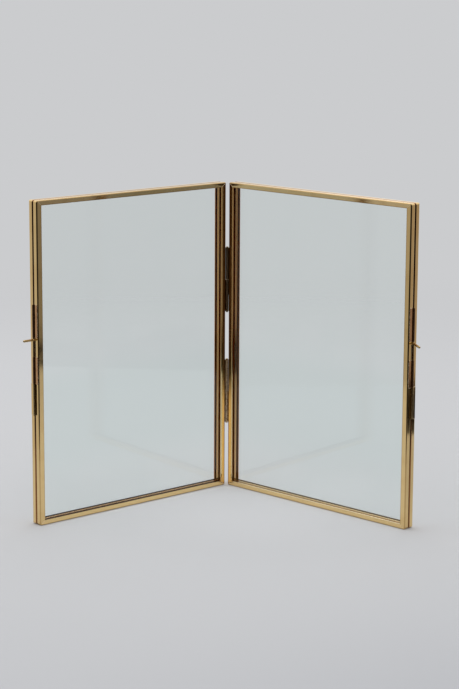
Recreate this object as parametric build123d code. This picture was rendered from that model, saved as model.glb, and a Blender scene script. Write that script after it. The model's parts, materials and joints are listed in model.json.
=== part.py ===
from build123d import *
import os
from math import sqrt

# Hinged double photo frame: two glass panels that fold like a book on two brass hinges.
# Each panel is a front frame and a back frame of brass channel, and the back frame opens like a door.
# A panel is drawn once with the fold axis on Z: +X runs along the panel, +Y towards its back.

# Panels, in millimetres and degrees
opening_angle = 94.0
frame_width = 188.4
frame_height = 250.0
seam = 0.4
axis_proud = 0.2

# Brass channel and glass
rail_face = 4.0
stile_face = 4.6
channel_wall = 0.7
channel_edge_radius = 0.9
channel_lip_radius = 0.2
corner_radius = 2.0
glass_thickness = 2.0
glass_side_clearance = 0.65
glass_edge_clearance = 0.3

# Clearances shared by the hinges and the bolts
running_gap = 0.3
pin_clearance = 0.05

# Fold hinges between the panels, each with one knuckle a side
fold_pin_diameter = 1.1
fold_leaf_thickness = 0.6
fold_barrel_clearance = 0.1
fold_hinge_length = 52.0
fold_hinge_inset = 53.0
fold_pin_head_lip = 0.4
fold_pin_head_height = 0.6

# Back hinges, on which each back frame opens: each stands behind a fold hinge
back_pin_diameter = 1.2
back_leaf_thickness = 0.5
back_hinge_length = 26.0
back_leaf_margin = 0.6
back_barrel_clearance = 0.15
back_pin_head_lip = 0.3
back_pin_head_height = 0.4

# Slide bolt on each panel's outer edge, with its tubes lying in the seam
bolt_diameter = 1.1
bolt_tube_wall = 0.3
bolt_tube_clearance = 0.2
bolt_plate_thickness = 0.4
upper_guide_inset = 79.0
upper_guide_length = 25.0
lever_gap = 15.0
lower_guide_length = 20.5
keeper_length = 24.2
bolt_end_setback = 0.5
bolt_bead_thickness = 0.2
lever_diameter = 1.8
lever_length = 8.6
lever_drop = 0.9
right_lever_swing_angle = 20.0
right_lever_droop_angle = 10.0

# Places that follow from the sizes above
channel_depth = glass_thickness + 2 * glass_side_clearance + 2 * channel_wall
fold_bore = fold_pin_diameter / 2 + pin_clearance
fold_barrel = fold_bore + fold_leaf_thickness
inner_wall = fold_barrel + fold_barrel_clearance
outer_wall = inner_wall + frame_width
layer_front = {"front": axis_proud, "back": axis_proud + channel_depth + seam}
panel_back = layer_front["back"] + channel_depth
side_flat = {}
for layer, front in layer_front.items():
    side_flat[layer] = (front + channel_edge_radius, front + channel_depth - channel_edge_radius)

back_bore = back_pin_diameter / 2 + pin_clearance
back_barrel = back_bore + back_leaf_thickness
plate_x = (inner_wall - fold_leaf_thickness, inner_wall)
strap_x = (plate_x[0] - back_leaf_thickness, plate_x[0])
back_axis = (strap_x[0] + back_barrel, panel_back + back_barrel_clearance + back_barrel)

bolt_bore = bolt_diameter / 2 + pin_clearance
bolt_tube = bolt_bore + bolt_tube_wall
edge_to_tube = bolt_tube + bolt_tube_clearance + channel_edge_radius
bolt_stand_off = sqrt(edge_to_tube**2 - (seam / 2 + channel_edge_radius) ** 2) - channel_edge_radius
bolt_axis = (outer_wall + bolt_stand_off, layer_front["back"] - seam / 2)
upper_guide_low = frame_height - upper_guide_inset - upper_guide_length
lower_guide_low = upper_guide_low - lever_gap - lower_guide_length
keeper_low = lower_guide_low - running_gap - keeper_length
lever_height = upper_guide_low - lever_drop - lever_diameter / 2
bolt_travel = lever_gap - lever_drop - running_gap - lever_diameter


def tube(radius, low, length, x=0.0, y=0.0):
    return Pos(x, y, low) * Cylinder(radius, length, align=(Align.CENTER, Align.CENTER, Align.MIN))


def block(x_range, y_range, z_range):
    low, high = zip(x_range, y_range, z_range)
    size = [b - a for a, b in zip(low, high)]
    return Pos(*low) * Box(*size, align=(Align.MIN, Align.MIN, Align.MIN))


# Channel bar along X with its web on y = 0, its open side towards +y, and both ends mitred to bars of end_face
def channel_bar(length, face, end_face):
    low = (Align.MIN, Align.MIN)
    outer = Rectangle(face, channel_depth, align=low)
    outer = fillet(outer.vertices().group_by(Axis.X)[0], channel_edge_radius)
    outer = fillet(outer.vertices().group_by(Axis.X)[-1], channel_lip_radius)
    slot = Rectangle(face, channel_depth - 2 * channel_wall, align=low)
    bar = extrude(Plane.YZ * (outer - Pos(channel_wall, channel_wall) * slot), length)
    mitre = ((0, 0), (length, 0), (length - end_face, face), (end_face, face))
    rounded = RectangleRounded(length, length, corner_radius, align=low)
    return bar & extrude(Polygon(*mitre, align=None) & rounded, channel_depth)


across = channel_bar(frame_width, rail_face, stile_face)
upright = channel_bar(frame_height, stile_face, rail_face)


# Four bars and a pane, for a frame whose front face is at y = front
def frame_pieces(front):
    back = front + channel_depth
    places = {
        "bottom_rail": (across, (inner_wall, back, 0), (1, 0, 0)),
        "top_rail": (across, (outer_wall, back, frame_height), (-1, 0, 0)),
        "inner_stile": (upright, (inner_wall, back, frame_height), (0, 0, -1)),
        "outer_stile": (upright, (outer_wall, back, 0), (0, 0, 1)),
    }
    pieces = {}
    for name, (bar, origin, along) in places.items():
        pieces[name] = Plane(origin=origin, x_dir=along, z_dir=(0, -1, 0)) * bar
    margin = channel_wall + glass_edge_clearance
    pane_front = front + channel_wall + glass_side_clearance
    pieces["glass"] = block(
        (inner_wall + margin, outer_wall - margin),
        (pane_front, pane_front + glass_thickness),
        (margin, frame_height - margin),
    )
    return pieces


# Headed pin standing on Z: its shank is as long as the hinge, with a small gap under each head
def hinge_pin(diameter, head_lip, head_height, low, length, x=0.0, y=0.0):
    bottom = low - pin_clearance
    top = low + length + pin_clearance
    pin = tube(diameter / 2, bottom, top - bottom, x, y)
    for head_low in (bottom - head_height, top):
        pin += tube(diameter / 2 + head_lip, head_low, head_height, x, y)
    return pin


# A hinge's two knuckles as (low, high), with a running gap between them
def knuckle_spans(low, length):
    knuckle = (length - running_gap) / 2
    return {"lower": (low, low + knuckle), "upper": (low + length - knuckle, low + length)}


# Leaf on a front frame's inner wall: a full-length plate, set back from the other leaf's knuckle
def fold_leaf(low, half):
    set_back = sqrt(inner_wall**2 - plate_x[0] ** 2)
    plate_back = side_flat["front"][1]
    span = knuckle_spans(low, fold_hinge_length)[half]
    leaf = block(plate_x, (set_back, plate_back), (low, low + fold_hinge_length))
    leaf += block(plate_x, (0, plate_back), span)
    leaf += tube(fold_barrel, span[0], span[1] - span[0])
    return leaf - tube(fold_bore, span[0], span[1] - span[0])


# Knuckle of a back hinge, with the plate that carries it
def back_knuckle(plate, span):
    length = span[1] - span[0]
    barrel = tube(back_barrel, span[0], length, *back_axis)
    return plate + barrel - tube(back_bore, span[0], length, *back_axis)


# Strap on the fold leaf's plate, set back from the fold knuckles, which passes clear of the back frame
def back_strap(low):
    span = knuckle_spans(low, back_hinge_length)["lower"]
    set_back = sqrt(inner_wall**2 - strap_x[0] ** 2)
    return back_knuckle(block(strap_x, (set_back, back_axis[1]), span), span)


# Leaf soldered to the back frame's rear face and rolled into the upper knuckle
def back_leaf(low):
    span = knuckle_spans(low, back_hinge_length)["upper"]
    leaf_x = (back_axis[0], inner_wall + stile_face - back_leaf_margin)
    return back_knuckle(block(leaf_x, (panel_back, panel_back + back_leaf_thickness), span), span)


# Guide or keeper tube in the seam, with a plate on the outer wall of the frame that carries it
def seam_tube(low, length, layer):
    far_edge = {"front": side_flat["front"][0], "back": side_flat["back"][1]}[layer]
    plate_x = (outer_wall, outer_wall + bolt_plate_thickness)
    piece = block(plate_x, sorted((far_edge, bolt_axis[1])), (low, low + length))
    piece += tube(bolt_tube, low, length, *bolt_axis)
    return piece - tube(bolt_bore, low, length, *bolt_axis)


# Wire bolt, drawn back: its finger lever stands at the top of the gap between the guides
def slide_bolt(swing, droop):
    low = lower_guide_low + bolt_end_setback
    high = upper_guide_low + upper_guide_length - bolt_end_setback
    joint = Pos(*bolt_axis, lever_height)
    lever = tube(lever_diameter / 2, 0, lever_length) + Pos(0, 0, lever_length) * Sphere(lever_diameter / 2)
    bolt = tube(bolt_diameter / 2, low, high - low, *bolt_axis)
    bolt += joint * Rot(0, 0, -swing) * Rot(0, 90 + droop, 0) * lever
    bolt += joint * Sphere(lever_diameter / 2 + bolt_bead_thickness)
    return bolt


frames = {layer: frame_pieces(front) for layer, front in layer_front.items()}
fold_hinge_lows = {"lower": fold_hinge_inset, "upper": frame_height - fold_hinge_inset - fold_hinge_length}
knuckle_half = {"lower": {"left": "upper", "right": "lower"}, "upper": {"left": "lower", "right": "upper"}}
lever_turn = {"left": (0, 0), "right": (right_lever_swing_angle, right_lever_droop_angle)}


# Everything on one side of the fold, still lying along +X
def panel_pieces(side):
    pieces = {}
    for layer, frame in frames.items():
        for name, piece in frame.items():
            pieces[f"{side}_{layer}_{name}"] = piece
    for place, low in fold_hinge_lows.items():
        pieces[f"{place}_fold_hinge_{side}_leaf"] = fold_leaf(low, knuckle_half[place][side])
        back_low = low + (fold_hinge_length - back_hinge_length) / 2
        pieces[f"{side}_{place}_back_hinge_strap"] = back_strap(back_low)
        pieces[f"{side}_{place}_back_hinge_leaf"] = back_leaf(back_low)
        pieces[f"{side}_{place}_back_hinge_pin"] = hinge_pin(
            back_pin_diameter, back_pin_head_lip, back_pin_head_height, back_low, back_hinge_length, *back_axis
        )
    pieces[f"{side}_bolt_upper_guide"] = seam_tube(upper_guide_low, upper_guide_length, "front")
    pieces[f"{side}_bolt_lower_guide"] = seam_tube(lower_guide_low, lower_guide_length, "front")
    pieces[f"{side}_bolt_keeper"] = seam_tube(keeper_low, keeper_length, "back")
    pieces[f"{side}_slide_bolt"] = slide_bolt(*lever_turn[side])
    return pieces


# Each panel swings out to its half of the opening angle, and the left one is the right one's mirror image
swing_out = Rot(0, 0, opening_angle / 2 - 90)
nodes = {name: swing_out * piece for name, piece in panel_pieces("right").items()}
for name, piece in panel_pieces("left").items():
    nodes[name] = mirror(swing_out * piece, about=Plane.YZ)
for place, low in fold_hinge_lows.items():
    nodes[f"{place}_fold_hinge_pin"] = hinge_pin(
        fold_pin_diameter, fold_pin_head_lip, fold_pin_head_height, low, fold_hinge_length
    )

# The frame stands on z = 0 with the middle of its box over the origin
boxes = [piece.bounding_box() for piece in nodes.values()]
middle_x = (min(box.min.X for box in boxes) + max(box.max.X for box in boxes)) / 2
middle_y = (min(box.min.Y for box in boxes) + max(box.max.Y for box in boxes)) / 2
to_origin = Pos(-middle_x, -middle_y, 0)
os.makedirs("parts", exist_ok=True)
for name, piece in nodes.items():
    export_step(to_origin * piece, f"parts/{name}.step")

back_axis_place = swing_out * Pos(*back_axis, 0)
print("fold axis at", -middle_x, -middle_y)
print("right back axis at", back_axis_place.position.X - middle_x, back_axis_place.position.Y - middle_y)
print("left back axis at", -back_axis_place.position.X - middle_x, back_axis_place.position.Y - middle_y)
print("bolt travel", bolt_travel)
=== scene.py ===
import json
import math
import random
import bpy
import bmesh
from mathutils import Matrix, Vector


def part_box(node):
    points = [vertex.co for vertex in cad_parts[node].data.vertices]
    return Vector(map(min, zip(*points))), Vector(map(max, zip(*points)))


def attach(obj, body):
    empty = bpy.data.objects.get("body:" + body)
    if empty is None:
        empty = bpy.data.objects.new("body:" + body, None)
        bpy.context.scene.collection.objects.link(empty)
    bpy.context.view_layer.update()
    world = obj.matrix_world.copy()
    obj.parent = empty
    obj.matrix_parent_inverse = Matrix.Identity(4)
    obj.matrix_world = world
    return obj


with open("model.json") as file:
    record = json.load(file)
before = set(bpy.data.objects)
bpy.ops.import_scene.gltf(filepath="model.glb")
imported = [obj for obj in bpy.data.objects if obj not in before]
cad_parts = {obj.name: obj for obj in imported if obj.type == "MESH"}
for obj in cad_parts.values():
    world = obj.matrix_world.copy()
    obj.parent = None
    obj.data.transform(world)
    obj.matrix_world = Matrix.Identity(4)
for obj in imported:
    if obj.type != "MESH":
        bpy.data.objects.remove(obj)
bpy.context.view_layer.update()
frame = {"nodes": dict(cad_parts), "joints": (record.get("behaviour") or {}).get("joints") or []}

mm = 0.001
sides = ("left", "right")
layers = ("front", "back")
ends = ("upper", "lower")
foldJoint = next(joint for joint in frame["joints"] if joint["name"] == "fold")
foldAxis = Vector(foldJoint["pos_m"])
panelTurn = math.radians(-foldJoint["range_deg"][0]) / 2 - math.pi / 2

# each panel has its own axes: out from the fold, towards its back, and up
opened = Matrix.Rotation(panelTurn, 4, "Z")
panelPlace = {
    "left": Matrix.Translation(foldAxis) @ Matrix.Scale(-1, 4, (1, 0, 0)) @ opened,
    "right": Matrix.Translation(foldAxis) @ opened,
}


def panelBox(node, side):
    toPanel = panelPlace[side].inverted()
    points = [toPanel @ vertex.co / mm for vertex in frame["nodes"][node].data.vertices]
    low = [min(point[axis] for point in points) for axis in range(3)]
    high = [max(point[axis] for point in points) for axis in range(3)]
    return low, high


def rightBars(*bars):
    return [panelBox(f"right_{layer}_{bar}", "right") for layer in layers for bar in bars]


# the panel's own measures in mm: its corners, its bars' faces, and the seam between its two frames
panelLow = [min(lows) for lows in zip(*(box[0] for box in rightBars("bottom_rail", "inner_stile")))]
panelHigh = [max(highs) for highs in zip(*(box[1] for box in rightBars("top_rail", "outer_stile")))]
frontStile, backStile = rightBars("outer_stile")
frontRail = rightBars("bottom_rail")[0]
barFace = {"rail": frontRail[1][2], "stile": panelHigh[0] - frontStile[0][0]}
seamDepth = (frontStile[1][1], backStile[0][1])
print("panel", panelLow, panelHigh, "bars", barFace, "seam", seamDepth)


# shading: a socket that can be added to, multiplied and so on, and the sheet of nodes that it belongs to
class Link:
    def __init__(self, sheet, socket):
        self.sheet = sheet
        self.socket = socket

    def math(self, operation, first, second):
        return self.sheet.node("Math", {"operation": operation}, {0: first, 1: second})

    def __add__(self, other):
        return self.math("ADD", self, other)

    def __radd__(self, other):
        return self.math("ADD", other, self)

    def __sub__(self, other):
        return self.math("SUBTRACT", self, other)

    def __rsub__(self, other):
        return self.math("SUBTRACT", other, self)

    def __mul__(self, other):
        return self.math("MULTIPLY", self, other)

    def __rmul__(self, other):
        return self.math("MULTIPLY", other, self)


class NodeSheet:
    def __init__(self, owner):
        owner.use_nodes = True
        self.tree = owner.node_tree
        self.tree.nodes.clear()

    def node(self, kind, settings=None, sockets=None, out=0):
        made = self.tree.nodes.new("ShaderNode" + kind)
        for name, value in (settings or {}).items():
            setattr(made, name, value)
        for name, value in (sockets or {}).items():
            if isinstance(value, Link):
                self.tree.links.new(value.socket, made.inputs[name])
            else:
                made.inputs[name].default_value = value
        return Link(self, made.outputs[out]) if made.outputs else made

    # from 0 at low to most at high, eased between them and level beyond
    def ease(self, value, low, high, most=1.0):
        return self.node("MapRange", {"interpolation_type": "SMOOTHSTEP"},
                         {"Value": value, "From Min": low, "From Max": high, "To Max": most})

    # 1 between low and high, falling to 0 over soft on either side
    def band(self, value, low, high, soft):
        return self.ease(value, low - soft, low) * (1 - self.ease(value, high, high + soft))

    def least(self, first, second):
        return self.node("Math", {"operation": "MINIMUM"}, {0: first, 1: second})

    def mix(self, share, first, second):
        return self.node("Mix", {"data_type": "RGBA"}, {0: share, 6: first, 7: second}, 2)

    def mixShader(self, share, first, second):
        return self.node("MixShader", None, {0: share, 1: first, 2: second})

    def noise(self, where, scale, detail=2.0, rough=0.5):
        return self.node("TexNoise", None, {"Vector": where, "Scale": scale, "Detail": detail,
                                            "Roughness": rough})

    def part(self, where, axis):
        return self.node("SeparateXYZ", None, {0: where}, axis)

    def stretch(self, where, factors):
        return self.node("VectorMath", {"operation": "MULTIPLY"}, {0: where, 1: factors})

    # a place in the panel's own axes, in mm
    def inPanel(self, side):
        where = self.node("TexCoord", None, None, "Object")
        fromFold = self.node("VectorMath", {"operation": "SUBTRACT"}, {0: where, 1: foldAxis})
        inMm = self.stretch(fromFold, (-1 / mm if side == "left" else 1 / mm, 1 / mm, 1 / mm))
        return self.node("VectorRotate", {"rotation_type": "Z_AXIS"}, {"Vector": inMm, "Angle": -panelTurn})

    # 1 for a ray that has already been reflected in metal or glass (Glossy) or come off the floor (Diffuse)
    def bounced(self, kind):
        return self.least(self.node("LightPath", None, None, kind + " Depth"), 1)


def makeMaterial(name, build):
    material = bpy.data.materials.new(name)
    sheet = NodeSheet(material)
    sheet.node("OutputMaterial", None, {"Surface": build(sheet)})
    return material


# brass: drawn lines along the length, and cloudy tarnish
brassLook = {
    "bright": (0.88, 0.64, 0.308, 1),
    "warm": (0.77, 0.52, 0.22, 1),
    "cloudScale": 0.07,
    "cloudBlush": (0.42, 0.72, 0.45),  # from, to and how much
    "cloudRough": (0.35, 0.75, 0.06),
    "lineScale": 2.2,
    "lineBlush": (0.5, 0.8, 0.12),
    "lineRough": (0.4, 0.8, 0.05),
    "polish": 0.06,
    "lineRelief": 0.2,
    "waveScale": 0.05,
    "waveRelief": 4,
    "bump": 0.35,
    "bumpDepth": 0.01,  # mm
}

# painted shade on the bars: darker along their lips and in the groove between the two frames of a panel
barLook = {
    **brassLook,
    "lipShade": (0.37, 0.20, 0.06, 1),
    "grooveShade": (0.22, 0.052, 0.010, 1),
    "seamShade": (0.40, 0.23, 0.095, 1),  # painted shade where the two frames close on each other
    "seamRough": 0.15,
    "slotRough": 0.35,
}
stileLook = {
    **barLook,
    # painted shade in the slots
    "frontSlot": (0.66, 0.25, 0.05, 1),
    "backSlot": (0.66, 0.25, 0.05, 1),
    "rosy": (1.0, 0.59, 0.25, 1),  # painted light at the fold
    "foldFace": (1.0, 0.76, 0.40, 1),  # painted light, low on the fold
}
railLook = {
    **barLook,
    "bright": (0.95, 0.73, 0.405, 1),
    "warm": (0.84, 0.60, 0.29, 1),
    "footFace": (0.90, 0.645, 0.295, 1),  # the bottom rails are warmer
}
# painted light and shade inside the channel, where the right rails are painted brighter than the left ones
railLooks = {
    "left": {
        **railLook,
        # painted shade in the slots, on the crest and on the inner lips
        "frontSlot": (0.05, 0.012, 0.004, 1),
        "backSlot": (0.05, 0.012, 0.004, 1),
        "crest": (0.18, 0.085, 0.03, 1),  # the front lip's upper edge on the bottom rails
        "innerLip": (0.70, 0.41, 0.19, 1),
    },
    "right": {
        **railLook,
        # painted light in the front slots and on the inner lips, painted shade in the back slots, a painted
        # highlight on the crest
        "frontSlot": (0.95, 0.69, 0.35, 1),
        "backSlot": (0.32, 0.21, 0.09, 1),
        "crest": (1.0, 0.86, 0.60, 1),
        "innerLip": (0.95, 0.70, 0.38, 1),
    },
}

# where the tones change on a bar, in mm: inset is in from its outer edge, rim is short of its edge at the
# glass, deep is in from the panel's front, back is short of its back, out is from the fold, up from the foot
barMarks = {
    "wall": 0.7,  # the folded sheet
    "lipShade": {"rim": (0.7, 0.1), "deep": (0.6, 0.9), "share": 0.8},
    "edge": {"inset": (0.4, 0.8), "deep": (0.7, 1.1), "share": 0.55},
    "grooveShade": {"ahead": 0.5, "behind": 0.8, "soft": 0.15, "inset": (0.8, 1.0), "share": 0.85},  # of the seam
    "slot": {"soft": 0.06, "rim": 0.12, "rimSoft": 0.05},
    "rearLip": {"back": 0.15, "soft": 0.05, "rim": (0.3, 0.15)},
    "seam": {"soft": 0.06, "inset": 0.95, "rim": 0.2, "insetSoft": 0.1},
    "fold": {"out": (10.0, 20.0), "up": (90.0, 130.0), "deep": (0.5, 0.9), "share": 0.8},
    "foldInside": {"deep": 0.9, "back": 0.3, "soft": 0.1, "inset": (1.0, 1.4), "share": 0.85},
    "foldGrooveShade": {"inset": (0.95, 1.2), "deep": (1.1, 1.5)},
    "foot": {"up": (100.0, 150.0), "share": 0.75},
    "crest": {"deep": (0.9, 1.1), "rim": (0.35, 0.1)},
    "innerLip": {"soft": 0.05},
}


# adds the tones that depend on where a point is on its bar
def dressBar(sheet, place, bar, values, colour, rough):
    face = barFace[bar]
    wall = barMarks["wall"]
    across, deep, up = (sheet.part(place, axis) for axis in "XYZ")
    along, index = (across, 0) if bar == "stile" else (up, 2)
    inset = sheet.least(along - panelLow[index], panelHigh[index] - along)

    def nearGlass(rim):
        return sheet.ease(inset, face - rim[0], face - rim[1])

    def nearFront(depths):
        return 1 - sheet.ease(deep, *depths)

    # painted shade on the lips at the glass and at the outer edge
    marks = barMarks["lipShade"]
    lipShade = nearGlass(marks["rim"]) * nearFront(marks["deep"]) * marks["share"]
    if bar == "rail":
        foot = 1 - sheet.ease(up, *barMarks["foot"]["up"])
        lipShade = lipShade * (1 - foot)
        colour = sheet.mix(foot * barMarks["foot"]["share"], colour, values["footFace"])
    colour = sheet.mix(lipShade, colour, values["lipShade"])
    marks = barMarks["edge"]
    edge = (1 - sheet.ease(inset, *marks["inset"])) * nearFront(marks["deep"]) * marks["share"]
    colour = sheet.mix(edge, colour, values["lipShade"])

    # painted shade in the groove round the panel's outside; at the fold, painted light on the face and the
    # channel's inside, and painted shade on the rounding
    marks = barMarks["grooveShade"]
    grooveShade = sheet.band(deep, seamDepth[0] - marks["ahead"], seamDepth[1] + marks["behind"], marks["soft"])
    grooveShade = grooveShade * (1 - sheet.ease(inset, *marks["inset"]))
    if bar == "stile":
        marks = barMarks["fold"]
        atFold = 1 - sheet.ease(across, *marks["out"])
        foldTone = sheet.mix(sheet.ease(up, *marks["up"]), values["foldFace"], values["rosy"])
        colour = sheet.mix(atFold * nearFront(marks["deep"]) * marks["share"], colour, foldTone)
        marks = barMarks["foldInside"]
        inside = sheet.band(deep, marks["deep"], panelHigh[1] - marks["back"], marks["soft"])
        inside = inside * sheet.ease(inset, *marks["inset"]) * marks["share"]
        colour = sheet.mix(atFold * inside, colour, values["rosy"])
        marks = barMarks["foldGrooveShade"]
        rounding = 1 - sheet.ease(across - panelLow[0], *marks["inset"])
        grooveShade = grooveShade + rounding * nearFront(marks["deep"])
    colour = sheet.mix(grooveShade * barMarks["grooveShade"]["share"], colour, values["grooveShade"])

    # painted shade in the slots that hold the glass and on the rear lips' ends; the right rails' front slots
    # are painted light
    marks = barMarks["slot"]
    slots = sheet.band(deep, panelLow[1] + wall, seamDepth[0] - wall, marks["soft"])
    slots = slots + sheet.band(deep, seamDepth[1] + wall, panelHigh[1] - wall, marks["soft"])
    slots = slots * sheet.band(inset, wall, face - marks["rim"], marks["rimSoft"])
    marks = barMarks["rearLip"]
    rearLip = sheet.band(deep, seamDepth[1] + wall, panelHigh[1] - marks["back"], marks["soft"])
    rearLip = rearLip * nearGlass(marks["rim"])
    hidden = sheet.node("Math", {"operation": "MAXIMUM"}, {0: slots, 1: rearLip})
    slotTone = sheet.mix(sheet.ease(deep, *seamDepth), values["frontSlot"], values["backSlot"])
    colour = sheet.mix(hidden, colour, slotTone)

    # painted shade in the seam where the two frames close
    marks = barMarks["seam"]
    seam = sheet.band(deep, *seamDepth, marks["soft"])
    seam = seam * sheet.band(inset, marks["inset"], face - marks["rim"], marks["insetSoft"])
    colour = sheet.mix(seam, colour, values["seamShade"])
    rough = rough + hidden * values["slotRough"] + seam * values["seamRough"]
    if bar == "rail":  # the upper edges of the lips on the bottom rails, with painted highlight and shade
        marks = barMarks["crest"]
        footRim = foot * nearGlass(marks["rim"])
        colour = sheet.mix(footRim * nearFront(marks["deep"]), colour, values["crest"])
        innerLips = sheet.band(deep, seamDepth[0] - wall, seamDepth[1] + wall, barMarks["innerLip"]["soft"])
        colour = sheet.mix(footRim * innerLips, colour, values["innerLip"])
    return colour, rough


def brassShader(side, lengthways, values, bar=None, pitted=None):
    def build(sheet):
        place = sheet.inPanel(side)
        clouds = sheet.noise(place, values["cloudScale"], detail=3.0, rough=0.6)
        lines = sheet.noise(sheet.stretch(place, lengthways), values["lineScale"], detail=3.0, rough=0.65)
        blush = sheet.ease(clouds, *values["cloudBlush"]) + sheet.ease(lines, *values["lineBlush"])
        colour = sheet.mix(blush, values["bright"], values["warm"])
        rough = values["polish"] + sheet.ease(clouds, *values["cloudRough"])
        rough = rough + sheet.ease(lines, *values["lineRough"])
        if bar:
            colour, rough = dressBar(sheet, place, bar, values, colour, rough)
        waves = sheet.noise(place, values["waveScale"], detail=1.0)
        relief = lines * values["lineRelief"] + waves * values["waveRelief"]
        if pitted:
            worn = 1 - sheet.ease(sheet.part(place, "Z"), *pitted["cleanAbove"])
            worn = worn * (1 - sheet.ease(sheet.part(place, "Y"), *pitted["cleanBehind"]))
            specks = sheet.noise(place, pitted["scale"], detail=3.0, rough=0.7)
            colour = sheet.mix(sheet.ease(specks, *pitted["brightFrom"]) * worn, colour, pitted["bright"])
            colour = sheet.mix(sheet.ease(specks, *pitted["darkFrom"]) * worn, colour, pitted["dark"])
            rough = rough + worn * pitted["rough"]
            relief = relief + specks * worn * pitted["depth"]
        bump = sheet.node("Bump", None, {"Strength": values["bump"], "Distance": values["bumpDepth"] * mm,
                                         "Height": relief})
        return sheet.node("BsdfPrincipled", None, {"Base Color": colour, "Metallic": 1.0,
                                                   "Roughness": rough, "Normal": bump})
    return build


# the hinges are older looking: brown tarnish and a pitted skin
hingeLook = {
    **brassLook,
    "bright": (0.56, 0.42, 0.26, 1),
    "warm": (0.32, 0.20, 0.11, 1),
    "polish": 0.16,
    "cloudScale": 0.25,
}
pits = {
    "scale": 1.0,
    "bright": (0.74, 0.56, 0.32, 1),
    "brightFrom": (0.54, 0.64),
    "dark": (0.10, 0.05, 0.028, 1),
    "darkFrom": (0.46, 0.38),
    "cleanAbove": (110.0, 140.0, 0.75),  # mm up the panel, and how much cleaner
    "cleanBehind": (1.4, 2.2, 0.8),  # mm from its front
    "rough": 0.1,
    "depth": 9.0,
}

# the bolts' guides are redder, and the wires and pins browner
guideLook = {
    **brassLook,
    "bright": (0.62, 0.36, 0.18, 1),
    "warm": (0.36, 0.16, 0.07, 1),
    "polish": 0.07,
    "cloudScale": 0.2,
}
wireLook = {
    **brassLook,
    "bright": (0.50, 0.36, 0.16, 1),
    "warm": (0.25, 0.15, 0.06, 1),
    "polish": 0.07,
    "cloudScale": 0.3,
}

# clear glass, a little green, that lets the lamp's light through to the floor
glassLook = {
    "tint": (0.970, 0.993, 0.987, 1),
    "shade": (0.960, 0.987, 0.980, 1),
    "lowShade": (0.944, 0.980, 0.971, 1),  # painted shade: darker, greener glass low on the panes
    "lowShadeFoot": (22.0, 60.0),  # mm up the pane
    "lowShadeTop": (102.0, 132.0),
    "shadow": (0.990, 0.998, 0.996, 1),  # for the light on its way to the floor
    "smearScale": 0.02,
    "smearShade": (0.45, 0.75),
    "smearRough": (0.5, 0.8, 0.012),
    "ior": 1.26,
}


def glassShader(side):
    def build(sheet):
        place = sheet.inPanel(side)
        smears = sheet.noise(place, glassLook["smearScale"], detail=4.0, rough=0.6)
        smeared = sheet.ease(smears, *glassLook["smearShade"])
        colour = sheet.mix(smeared, glassLook["tint"], glassLook["shade"])
        up = sheet.part(place, "Z")
        lowShade = sheet.ease(up, *glassLook["lowShadeFoot"]) * (1 - sheet.ease(up, *glassLook["lowShadeTop"]))
        colour = sheet.mix(lowShade, colour, glassLook["lowShade"])
        rough = sheet.ease(smears, *glassLook["smearRough"])
        clear = sheet.node("BsdfPrincipled", None, {"Base Color": colour, "Roughness": rough,
                                                    "IOR": glassLook["ior"], "Transmission Weight": 1.0})
        through = sheet.node("BsdfTransparent", None, {"Color": glassLook["shadow"]})
        shadowRay = sheet.node("LightPath", None, None, "Is Shadow Ray")
        return sheet.mixShader(shadowRay, clear, through)
    return build


# the drawn lines' scale along the panel's axes: small along a piece's length, which makes them long
drawn = {"stile": (1, 1, 0.03), "rail": (0.03, 1, 1), "fitting": (1, 1, 0.05)}
materials = {}
for side in sides:
    finishes = {
        "StileBrass": brassShader(side, drawn["stile"], stileLook, "stile"),
        "RailBrass": brassShader(side, drawn["rail"], railLooks[side], "rail"),
        "HingeBrass": brassShader(side, drawn["fitting"], hingeLook, pitted=pits),
        "GuideBrass": brassShader(side, drawn["fitting"], guideLook),
        "KeeperBrass": brassShader(side, drawn["fitting"], brassLook),
        "WireBrass": brassShader(side, drawn["fitting"], wireLook),
        "PaneGlass": glassShader(side),
    }
    for finish, build in finishes.items():
        materials[side, finish] = makeMaterial(side + finish, build)
print("materials made:", len(materials))

# the first of these words that is in a node's name gives its finish, and the rest are hinge pieces
finishWords = {
    "glass": "PaneGlass",
    "stile": "StileBrass",
    "rail": "RailBrass",
    "pin": "WireBrass",
    "slide_bolt": "WireBrass",
    "guide": "GuideBrass",
    "keeper": "KeeperBrass",
}
for name, node in frame["nodes"].items():
    side = "left" if "left" in name else "right"
    finish = next((finishWords[word] for word in finishWords if word in name), "HingeBrass")
    node.data.materials.clear()
    node.data.materials.append(materials[side, finish])
print("solids dressed:", len(frame["nodes"]))


# solder: lumpy beads along the mitres, round the hinge plates and beside the bolt tubes; sizes are in mm
solder = {
    "bright": (0.95, 0.86, 0.67, 1),
    "dark": (0.45, 0.29, 0.15, 1),
    "grainScale": 1.8,
    "grainBright": (0.40, 0.60),
    "rough": 0.3,
    "grainRough": 0.25,
    "metal": 0.75,
    "bump": 0.5,
    "bumpDepth": 0.03,
    "halfWidth": 0.23,
    "height": 0.13,
    "sunk": 0.05,
    "wander": 0.08,
    "lumps": 0.5,  # share of the width and height
    "blunt": 0.2,  # share of the full size at a bead's ends
    "growth": 1.2,  # and the share that each mm adds
    "step": 0.4,
    "fewestSteps": 5,
    "points": 7,  # round the top of a bead
    "mitres": 0.55,  # times as large
    "mitreRun": (0.34, 0.95),  # shares of the bars' faces
    "tubeEnds": 2.0,  # times as large
    "corner": 0.2,  # an upright bead stops short of the corners
    "strapIn": 0.5,  # from the strap's face at the fold
    "plateDeep": 1.6,  # how deep in the panel the beads across its edge end
    "guideDeep": 3.8,
    "keeperDeep": 6.4,
}
chance = random.Random(11)
facing = {"front": (0, -1, 0), "back": (0, 1, 0), "fold": (-1, 0, 0), "outside": (1, 0, 0)}


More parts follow.
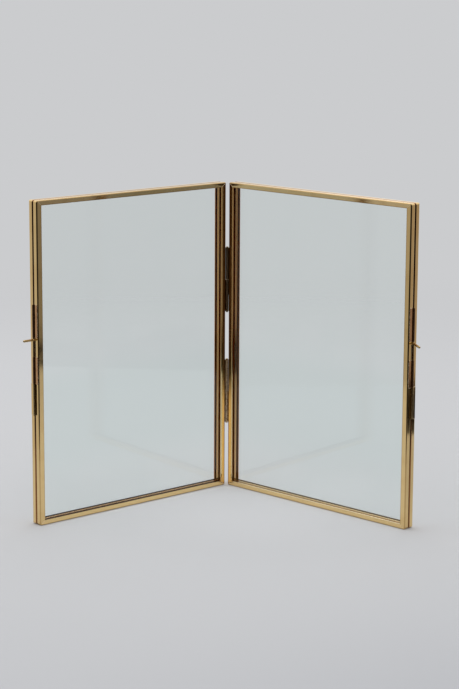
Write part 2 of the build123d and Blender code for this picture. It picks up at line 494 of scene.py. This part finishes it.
def solderShader(side):
    def build(sheet):
        grain = sheet.noise(sheet.inPanel(side), solder["grainScale"], detail=3.0, rough=0.7)
        colour = sheet.mix(sheet.ease(grain, *solder["grainBright"]), solder["dark"], solder["bright"])
        rough = solder["rough"] + grain * solder["grainRough"]
        bump = sheet.node("Bump", None, {"Strength": solder["bump"], "Distance": solder["bumpDepth"] * mm,
                                         "Height": grain})
        return sheet.node("BsdfPrincipled", None, {"Base Color": colour, "Metallic": solder["metal"],
                                                   "Roughness": rough, "Normal": bump})
    return build


# a number from -0.5 to 0.5
def swerve():
    return chance.random() - 0.5


# faces between each ring of points and the next
def joinRings(shape, rings):
    for ring, following in zip(rings, rings[1:]):
        for index in range(len(ring)):
            nextIndex = (index + 1) % len(ring)
            shape.faces.new((ring[index], ring[nextIndex], following[nextIndex], following[index]))


# a half-round ridge from start to end on the face that looks along out, in panel mm
def addBead(shape, side, start, end, out, size=1.0):
    start, end, out = Vector(start), Vector(end), Vector(out)
    along = end - start
    sideways = along.normalized().cross(out)
    steps = max(solder["fewestSteps"], round(along.length / solder["step"]))
    angles = [math.pi * turn / (solder["points"] - 1) for turn in range(solder["points"])]
    rings = []
    for step in range(steps + 1):
        share = step / steps
        full = min(1, solder["blunt"] + solder["growth"] * min(share, 1 - share) * along.length)
        wide = size * solder["halfWidth"] * full * (1 + solder["lumps"] * swerve())
        high = size * solder["height"] * full * (1 + solder["lumps"] * swerve())
        middle = start + along * share + sideways * swerve() * solder["wander"]
        profile = [(math.cos(angle) * wide, math.sin(angle) * high) for angle in angles]
        profile += [(-wide, -solder["sunk"]), (wide, -solder["sunk"])]
        rings.append([shape.verts.new(panelPlace[side] @ ((middle + sideways * over + out * up) * mm))
                      for over, up in profile])
    joinRings(shape, rings)
    shape.faces.new(rings[0])
    shape.faces.new(rings[-1])


# one bead along the mitre at each corner of a frame's face
def mitreBeads(shape, side, deep, out):
    for xEdge, xWay in ((panelLow[0], 1), (panelHigh[0], -1)):
        for zEdge, zWay in ((panelLow[2], 1), (panelHigh[2], -1)):
            mitre = [(xEdge + xWay * barFace["stile"] * share, deep, zEdge + zWay * barFace["rail"] * share)
                     for share in solder["mitreRun"]]
            addBead(shape, side, *mitre, out, solder["mitres"])


def uprightBead(shape, side, wall, edge, low, high, out):
    addBead(shape, side, (wall, edge, low + solder["corner"]), (wall, edge, high - solder["corner"]), out)


# beads at the two ends of a plate or tube, from one depth to another
def endBeads(shape, side, wall, edge, inner, levels, out, size=1.0):
    for level in levels:
        addBead(shape, side, (wall, edge, level), (wall, inner, level), out, size)


def tubeBeads(shape, side, edge, inner, low, high):
    uprightBead(shape, side, panelHigh[0], edge, low, high, facing["outside"])
    endBeads(shape, side, panelHigh[0], edge, inner, (low, high), facing["outside"], solder["tubeEnds"])


def frontBeads(shape, side):
    mitreBeads(shape, side, panelLow[1], facing["front"])
    for end in ends:
        low, high = panelBox(f"{end}_fold_hinge_{side}_leaf", side)
        uprightBead(shape, side, panelLow[0], high[1], low[2], high[2], facing["fold"])
        endBeads(shape, side, panelLow[0], high[1], solder["plateDeep"], (low[2], high[2]), facing["fold"])
        low, high = panelBox(f"{side}_{end}_back_hinge_strap", side)
        wall = low[0] + solder["strapIn"]
        levels = (low[2], high[2])
        endBeads(shape, side, wall, solder["plateDeep"], solder["guideDeep"], levels, facing["fold"])
        low, high = panelBox(f"{side}_bolt_{end}_guide", side)
        tubeBeads(shape, side, low[1], solder["guideDeep"], low[2], high[2])


def backBeads(shape, side):
    mitreBeads(shape, side, panelHigh[1], facing["back"])
    for end in ends:
        low, high = panelBox(f"{side}_{end}_back_hinge_leaf", side)
        uprightBead(shape, side, high[0], panelHigh[1], low[2], high[2], facing["back"])
    low, high = panelBox(f"{side}_bolt_keeper", side)
    tubeBeads(shape, side, high[1], solder["keeperDeep"], low[2], high[2])


def finishPiece(name, shape, body, material):
    bmesh.ops.recalc_face_normals(shape, faces=shape.faces)
    for face in shape.faces:
        face.smooth = True
    mesh = bpy.data.meshes.new(name)
    shape.to_mesh(mesh)
    shape.free()
    mesh.materials.append(material)
    piece = bpy.data.objects.new(name, mesh)
    bpy.context.scene.collection.objects.link(piece)
    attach(piece, body)


for side in sides:
    material = makeMaterial(side + "Solder", solderShader(side))
    for layer, layBeads in zip(layers, (frontBeads, backBeads)):
        shape = bmesh.new()
        layBeads(shape, side)
        finishPiece(f"{side}_{layer}_solder", shape, f"{side}_{layer}", material)
print("solder laid")


# the hinge pins' ends are peened to low domes
peened = {
    "rise": 0.26,  # mm
    "sunk": 0.05,
    "share": 0.96,  # of the pin's radius
    "rings": 5,
    "around": 28,
}


def addDome(shape, centre, radius, way):
    around = peened["around"]
    turns = [2 * math.pi * turn / around for turn in range(around)]
    profile = [(1, -peened["sunk"])]
    for ring in range(peened["rings"]):
        angle = math.pi / 2 * ring / peened["rings"]
        profile.append((math.cos(angle), peened["rise"] * math.sin(angle)))
    rings = []
    for share, rise in profile:
        wide = radius * peened["share"] * share
        circle = [Vector((wide * math.cos(turn), wide * math.sin(turn), way * rise * mm)) for turn in turns]
        rings.append([shape.verts.new(centre + point) for point in circle])
    joinRings(shape, rings)
    tip = shape.verts.new(centre + Vector((0, 0, way * peened["rise"] * mm)))
    for turn in range(around):
        shape.faces.new((rings[-1][turn], rings[-1][(turn + 1) % around], tip))
    shape.faces.new(rings[0])


for side in sides:
    pins = [f"{side}_{end}_back_hinge_pin" for end in ends]
    if side == "left":
        pins += [f"{end}_fold_hinge_pin" for end in ends]
    shape = bmesh.new()
    for pin in pins:
        low, high = (Vector(corner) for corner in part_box(pin))
        middle = (low + high) / 2
        for level, way in ((high.z, 1), (low.z, -1)):
            addDome(shape, Vector((middle.x, middle.y, level)), (high.x - low.x) / 2, way)
    finishPiece(f"{side}_pin_ends", shape, f"{side}_front", materials[side, "WireBrass"])
print("pin ends peened")


# stage: a pale floor that fades into the pale surround, and that the metal sees as a table top with edges;
# places are in metres, and a third number says how much unless its note says otherwise
stage = {
    "floor": (0.60, 0.606, 0.622, 1),
    "surround": (0.597, 0.604, 0.617, 1),
    "reach": 3.0,  # half the floor's width
    "fade": (0.55, 1.25),
    "lit": (0.663, 0.663, 0.682, 1),  # lighter between the open panels
    "litMiddle": (0.03, 0.012, 0.0),  # a point
    "litReach": (0.02, 0.15),
    "shaded": (0.475, 0.485, 0.515, 1),  # towards the front right
    "shadeFront": (0.05, 0.55, 0.3),
    "shadeRight": (0.25, 0.75, 0.45),
    "shadeEnds": (0.47, 0.85),
    "clothScale": 3.0,
    "clothShade": 0.04,
    "table": (-0.37, 0.445, 0.01),  # left, right and soft
    "tableFront": (-0.38, -0.20),
    "tableEdge": (0.31, 0.305, 0.30, 1),  # duller towards its sides
    "dullRight": (0.10, 0.30, 0.4),
    "dullLeft": (0.15, 0.36, 0.15),
    "dark": (0.012, 0.010, 0.009, 1),  # a dark strip beyond its right edge
    "stripFrom": (0.3, 0.31),
    "stripTo": (0.55, 0.62),
    "stripAcross": (-0.3, 0.2, 0.05),  # front, back and soft
    "stripSlant": (-0.12, -0.04, 0.1),
}


def floorShader(sheet):
    where = sheet.node("TexCoord", None, None, "Object")
    x, y = (sheet.part(where, axis) for axis in "XY")
    away = sheet.node("VectorMath", {"operation": "LENGTH"}, {0: where}, "Value")
    span = {0: where, 1: stage["litMiddle"]}
    fromLit = sheet.node("VectorMath", {"operation": "DISTANCE"}, span, "Value")
    ground = sheet.mix(1 - sheet.ease(fromLit, *stage["litReach"]), stage["floor"], stage["lit"])
    cloth = sheet.noise(where, stage["clothScale"]) * stage["clothShade"]
    shaded = sheet.ease(0 - y, *stage["shadeFront"]) + sheet.ease(x - y, *stage["shadeRight"]) + cloth
    shaded = shaded * (1 - sheet.ease(away, *stage["shadeEnds"]))
    toEdge = sheet.ease(x, *stage["dullRight"]) + sheet.ease(0 - x, *stage["dullLeft"])

    def matt(colour):
        sockets = {"Base Color": colour, "Roughness": 1.0, "Specular IOR Level": 0.0}
        return sheet.node("BsdfPrincipled", None, sockets)

    pale = matt(sheet.mix(shaded, ground, stage["shaded"]))
    tableTop = matt(sheet.mix(toEdge, ground, stage["tableEdge"]))
    clear = sheet.node("BsdfTransparent")
    dark = sheet.node("Emission", None, {"Color": stage["dark"]})
    table = sheet.band(x, *stage["table"]) * sheet.ease(y, *stage["tableFront"])
    strip = sheet.ease(x, *stage["stripFrom"]) * sheet.band(y, *stage["stripAcross"])
    strip = strip * (1 - sheet.ease(x - sheet.ease(y, *stage["stripSlant"]), *stage["stripTo"]))
    mirrored = sheet.mixShader(table, sheet.mixShader(strip, clear, dark), tableTop)
    plain = sheet.mixShader(1 - sheet.ease(away, *stage["fade"]), clear, pale)
    return sheet.mixShader(sheet.bounced("Glossy") * (1 - sheet.bounced("Diffuse")), plain, mirrored)


floorMesh = bpy.data.meshes.new("floor")
reach = stage["reach"]
floorMesh.from_pydata([(-reach, -reach, 0), (reach, -reach, 0), (reach, reach, 0), (-reach, reach, 0)], [],
                      [(0, 1, 2, 3)])
floorMesh.materials.append(makeMaterial("paleFloor", floorShader))
floor = bpy.data.objects.new("floor", floorMesh)
bpy.context.scene.collection.objects.link(floor)

# the room round the stage, seen only in the metal and glass; it changes between the directions in each pair
room = {
    "left": {"front": (0.40, 0.39, 0.37, 1), "back": (0.53, 0.52, 0.50, 1)},
    "right": {"front": (0.21, 0.20, 0.19, 1), "back": (0.36, 0.32, 0.29, 1)},
    "frontToBack": (-0.09, 0.04),
    "leftToRight": (-0.4, 0.4),
    "wallLeft": (0.76, 0.76, 0.74, 1),
    "wallRight": (0.92, 0.92, 0.90, 1),
    "wallLeftToRight": (-0.08, 0.08),
    "wallFoot": (-0.03, 0.10),
    "toWall": (0.20, 0.50),
    "front": (0.03, 0.028, 0.026, 1),
    "toFront": (-0.19, -0.36),
    "overhead": (0.92, 0.92, 0.92, 1),
    "toOverhead": (0.14, 0.65),
    "fillLight": (1, 1, 1, 1),  # what lights the floor
    "fillPower": 0.66,
}


def roomShader(sheet):
    look = sheet.node("TexCoord", None, None, "Generated")
    toRight, toBack, toTop = (sheet.part(look, axis) for axis in "XYZ")
    behind = sheet.ease(toBack, *room["frontToBack"])
    leftSide, rightSide = (sheet.mix(behind, room[side]["front"], room[side]["back"]) for side in sides)
    mirrored = sheet.mix(sheet.ease(toRight, *room["leftToRight"]), leftSide, rightSide)
    wall = sheet.mix(sheet.ease(toRight, *room["wallLeftToRight"]), room["wallLeft"], room["wallRight"])
    wall = sheet.mix(sheet.ease(toTop, *room["wallFoot"]), stage["surround"], wall)
    mirrored = sheet.mix(sheet.ease(toBack, *room["toWall"]), mirrored, wall)
    mirrored = sheet.mix(sheet.ease(toBack, *room["toFront"]), mirrored, room["front"])
    mirrored = sheet.mix(sheet.ease(toTop, *room["toOverhead"]), mirrored, room["overhead"])
    mirrorLight = sheet.node("Background", None, {"Color": mirrored})
    fillLight = sheet.node("Background", None, {"Color": room["fillLight"], "Strength": room["fillPower"]})
    paleLight = sheet.node("Background", None, {"Color": stage["surround"]})
    light = sheet.mixShader(sheet.bounced("Glossy"), paleLight, mirrorLight)
    return sheet.mixShader(sheet.bounced("Diffuse"), light, fillLight)


world = bpy.data.worlds.new("room")
bpy.context.scene.world = world
world.cycles.sampling_method = "NONE"
worldSheet = NodeSheet(world)
worldSheet.node("OutputWorld", None, {"Surface": roomShader(worldSheet)})

softbox = {"size": 1.6, "place": (-0.2, 0.25, 1.7), "power": 15.0}
lamp = bpy.data.lights.new("softbox", "AREA")
lamp.size = softbox["size"]
lamp.energy = softbox["power"]
lampObject = bpy.data.objects.new("softbox", lamp)
lampObject.location = softbox["place"]
bpy.context.scene.collection.objects.link(lampObject)

# the photo's viewpoint, measured from the foot of the fold
photoView = {
    "stand": (0.03689, -1.65822, 0.44292),
    "down": 11.1058,  # degrees
    "turn": -1.1997,
    "tilt": 0.2966,
    "lens": 108.61,
    "sensor": 36,
    "near": 0.01,
}
down, turn, tilt = (math.radians(photoView[name]) for name in ("down", "turn", "tilt"))
ahead = Vector((math.sin(turn) * math.cos(down), math.cos(turn) * math.cos(down), -math.sin(down)))
across = Vector((math.cos(turn), -math.sin(turn), 0))
upright = across.cross(ahead)
cameraX = across * math.cos(tilt) + upright * math.sin(tilt)
cameraY = upright * math.cos(tilt) - across * math.sin(tilt)
cameraData = bpy.data.cameras.new("photoView")
cameraData.lens = photoView["lens"]
cameraData.sensor_width = photoView["sensor"]
cameraData.sensor_fit = "AUTO"
cameraData.clip_start = photoView["near"]
camera = bpy.data.objects.new("photoView", cameraData)
camera.matrix_world = Matrix.Translation(foldAxis + Vector(photoView["stand"])) @ Matrix(
    (cameraX, cameraY, -ahead)).transposed().to_4x4()
bpy.context.scene.collection.objects.link(camera)
bpy.context.scene.camera = camera
bpy.context.scene.view_settings.view_transform = "Standard"
print("stage set")
